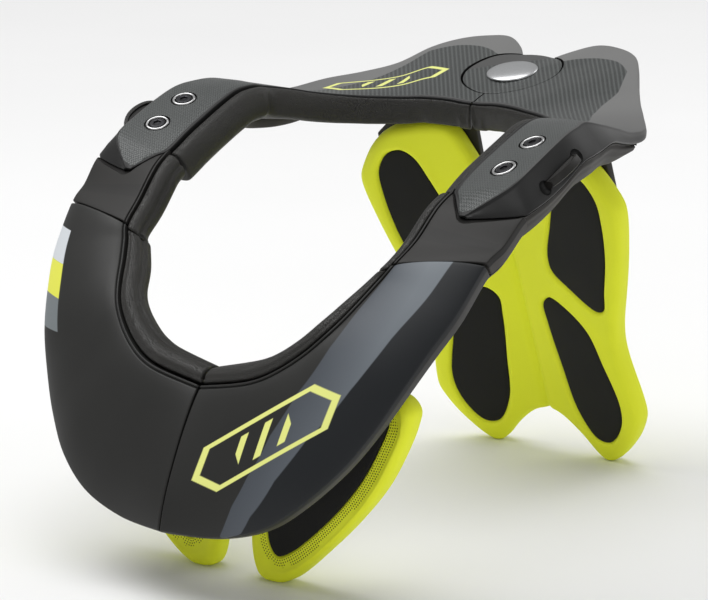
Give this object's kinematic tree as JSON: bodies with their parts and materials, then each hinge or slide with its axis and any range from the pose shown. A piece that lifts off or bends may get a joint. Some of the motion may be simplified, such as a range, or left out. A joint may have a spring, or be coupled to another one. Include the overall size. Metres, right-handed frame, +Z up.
{
  "type": "motocross neck brace",
  "caption": "Hinged protective collar with hard shells, foam lining and padded chest and back supports, standing on its pad tips.",
  "frame": {"origin": "on the table under the middle of the brace's bounding box", "axes": "+Z up, the wearer faces -Y, +X to the wearer's left"},
  "size_m": [0.2886, 0.3642, 0.2417],
  "materials": {
    "shell": "satin charcoal moulding with a grey gradient stripe on the left half",
    "link": "dark satin moulding",
    "liner": "dull grey-brown moulding",
    "carbon": "fine carbon weave under satin lacquer",
    "foam": "black foam with a leather grain",
    "pad": "fluorescent yellow moulded foam",
    "insert": "black brushed textile",
    "chrome": "bright ring",
    "steel": "blackened steel",
    "badge": "polished metallised dome"
  },
  "bodies": {
    "root": {"pivot_disc": "carbon", "pivot_badge": "badge", "pad_bridge": "liner", "pad_strut_left": "liner", "pad_strut_right": "liner", "back_pad": "pad", "back_insert_upper_left": "insert", "back_insert_upper_right": "insert", "back_insert_lower_left": "insert", "back_insert_lower_right": "insert"},
    "left_half": {"front_shell_left": "shell", "shell_liner_left": "liner", "side_link_left": "link", "arm_wing_left": "carbon", "arm_housing_left": "liner", "foam_front_left": "foam", "foam_side_left": "foam", "foam_rear_left": "foam", "screw_front_left": "steel", "screw_rear_left": "steel", "washer_front_left": "chrome", "washer_rear_left": "chrome", "chest_pad_left": "pad", "chest_panel_left": "insert", "chest_bracket_left": "liner"},
    "right_half": {"front_shell_right": "shell", "shell_liner_right": "liner", "side_link_right": "link", "arm_wing_right": "carbon", "arm_housing_right": "liner", "foam_front_right": "foam", "foam_side_right": "foam", "foam_rear_right": "foam", "screw_front_right": "steel", "screw_rear_right": "steel", "washer_front_right": "chrome", "washer_rear_right": "chrome", "chest_pad_right": "pad", "chest_panel_right": "insert", "chest_bracket_right": "liner"},
    "lever_left": {"release_lever_left": "link"},
    "lever_right": {"release_lever_right": "link"}
  },
  "joints": [
    {"name": "hinge_left", "type": "hinge", "parent": "root", "child": "left_half", "pos_m": [0, 0.12828, 0.227], "axis": [0, -0.2334, 0.9724], "range_deg": [0, 15]},
    {"name": "hinge_right", "type": "hinge", "parent": "root", "child": "right_half", "pos_m": [0, 0.12828, 0.227], "axis": [0, 0.2334, -0.9724], "range_deg": [0, 15]},
    {"name": "lever_tilt_left", "type": "hinge", "parent": "left_half", "child": "lever_left", "pos_m": [0.13644, -0.03033, 0.21111], "axis": [0.0271, -0.9294, -0.368], "range_deg": [0, 20]},
    {"name": "lever_tilt_right", "type": "hinge", "parent": "right_half", "child": "lever_right", "pos_m": [-0.13644, -0.03033, 0.21111], "axis": [0.0271, 0.9294, 0.368], "range_deg": [0, 20]}
  ]
}
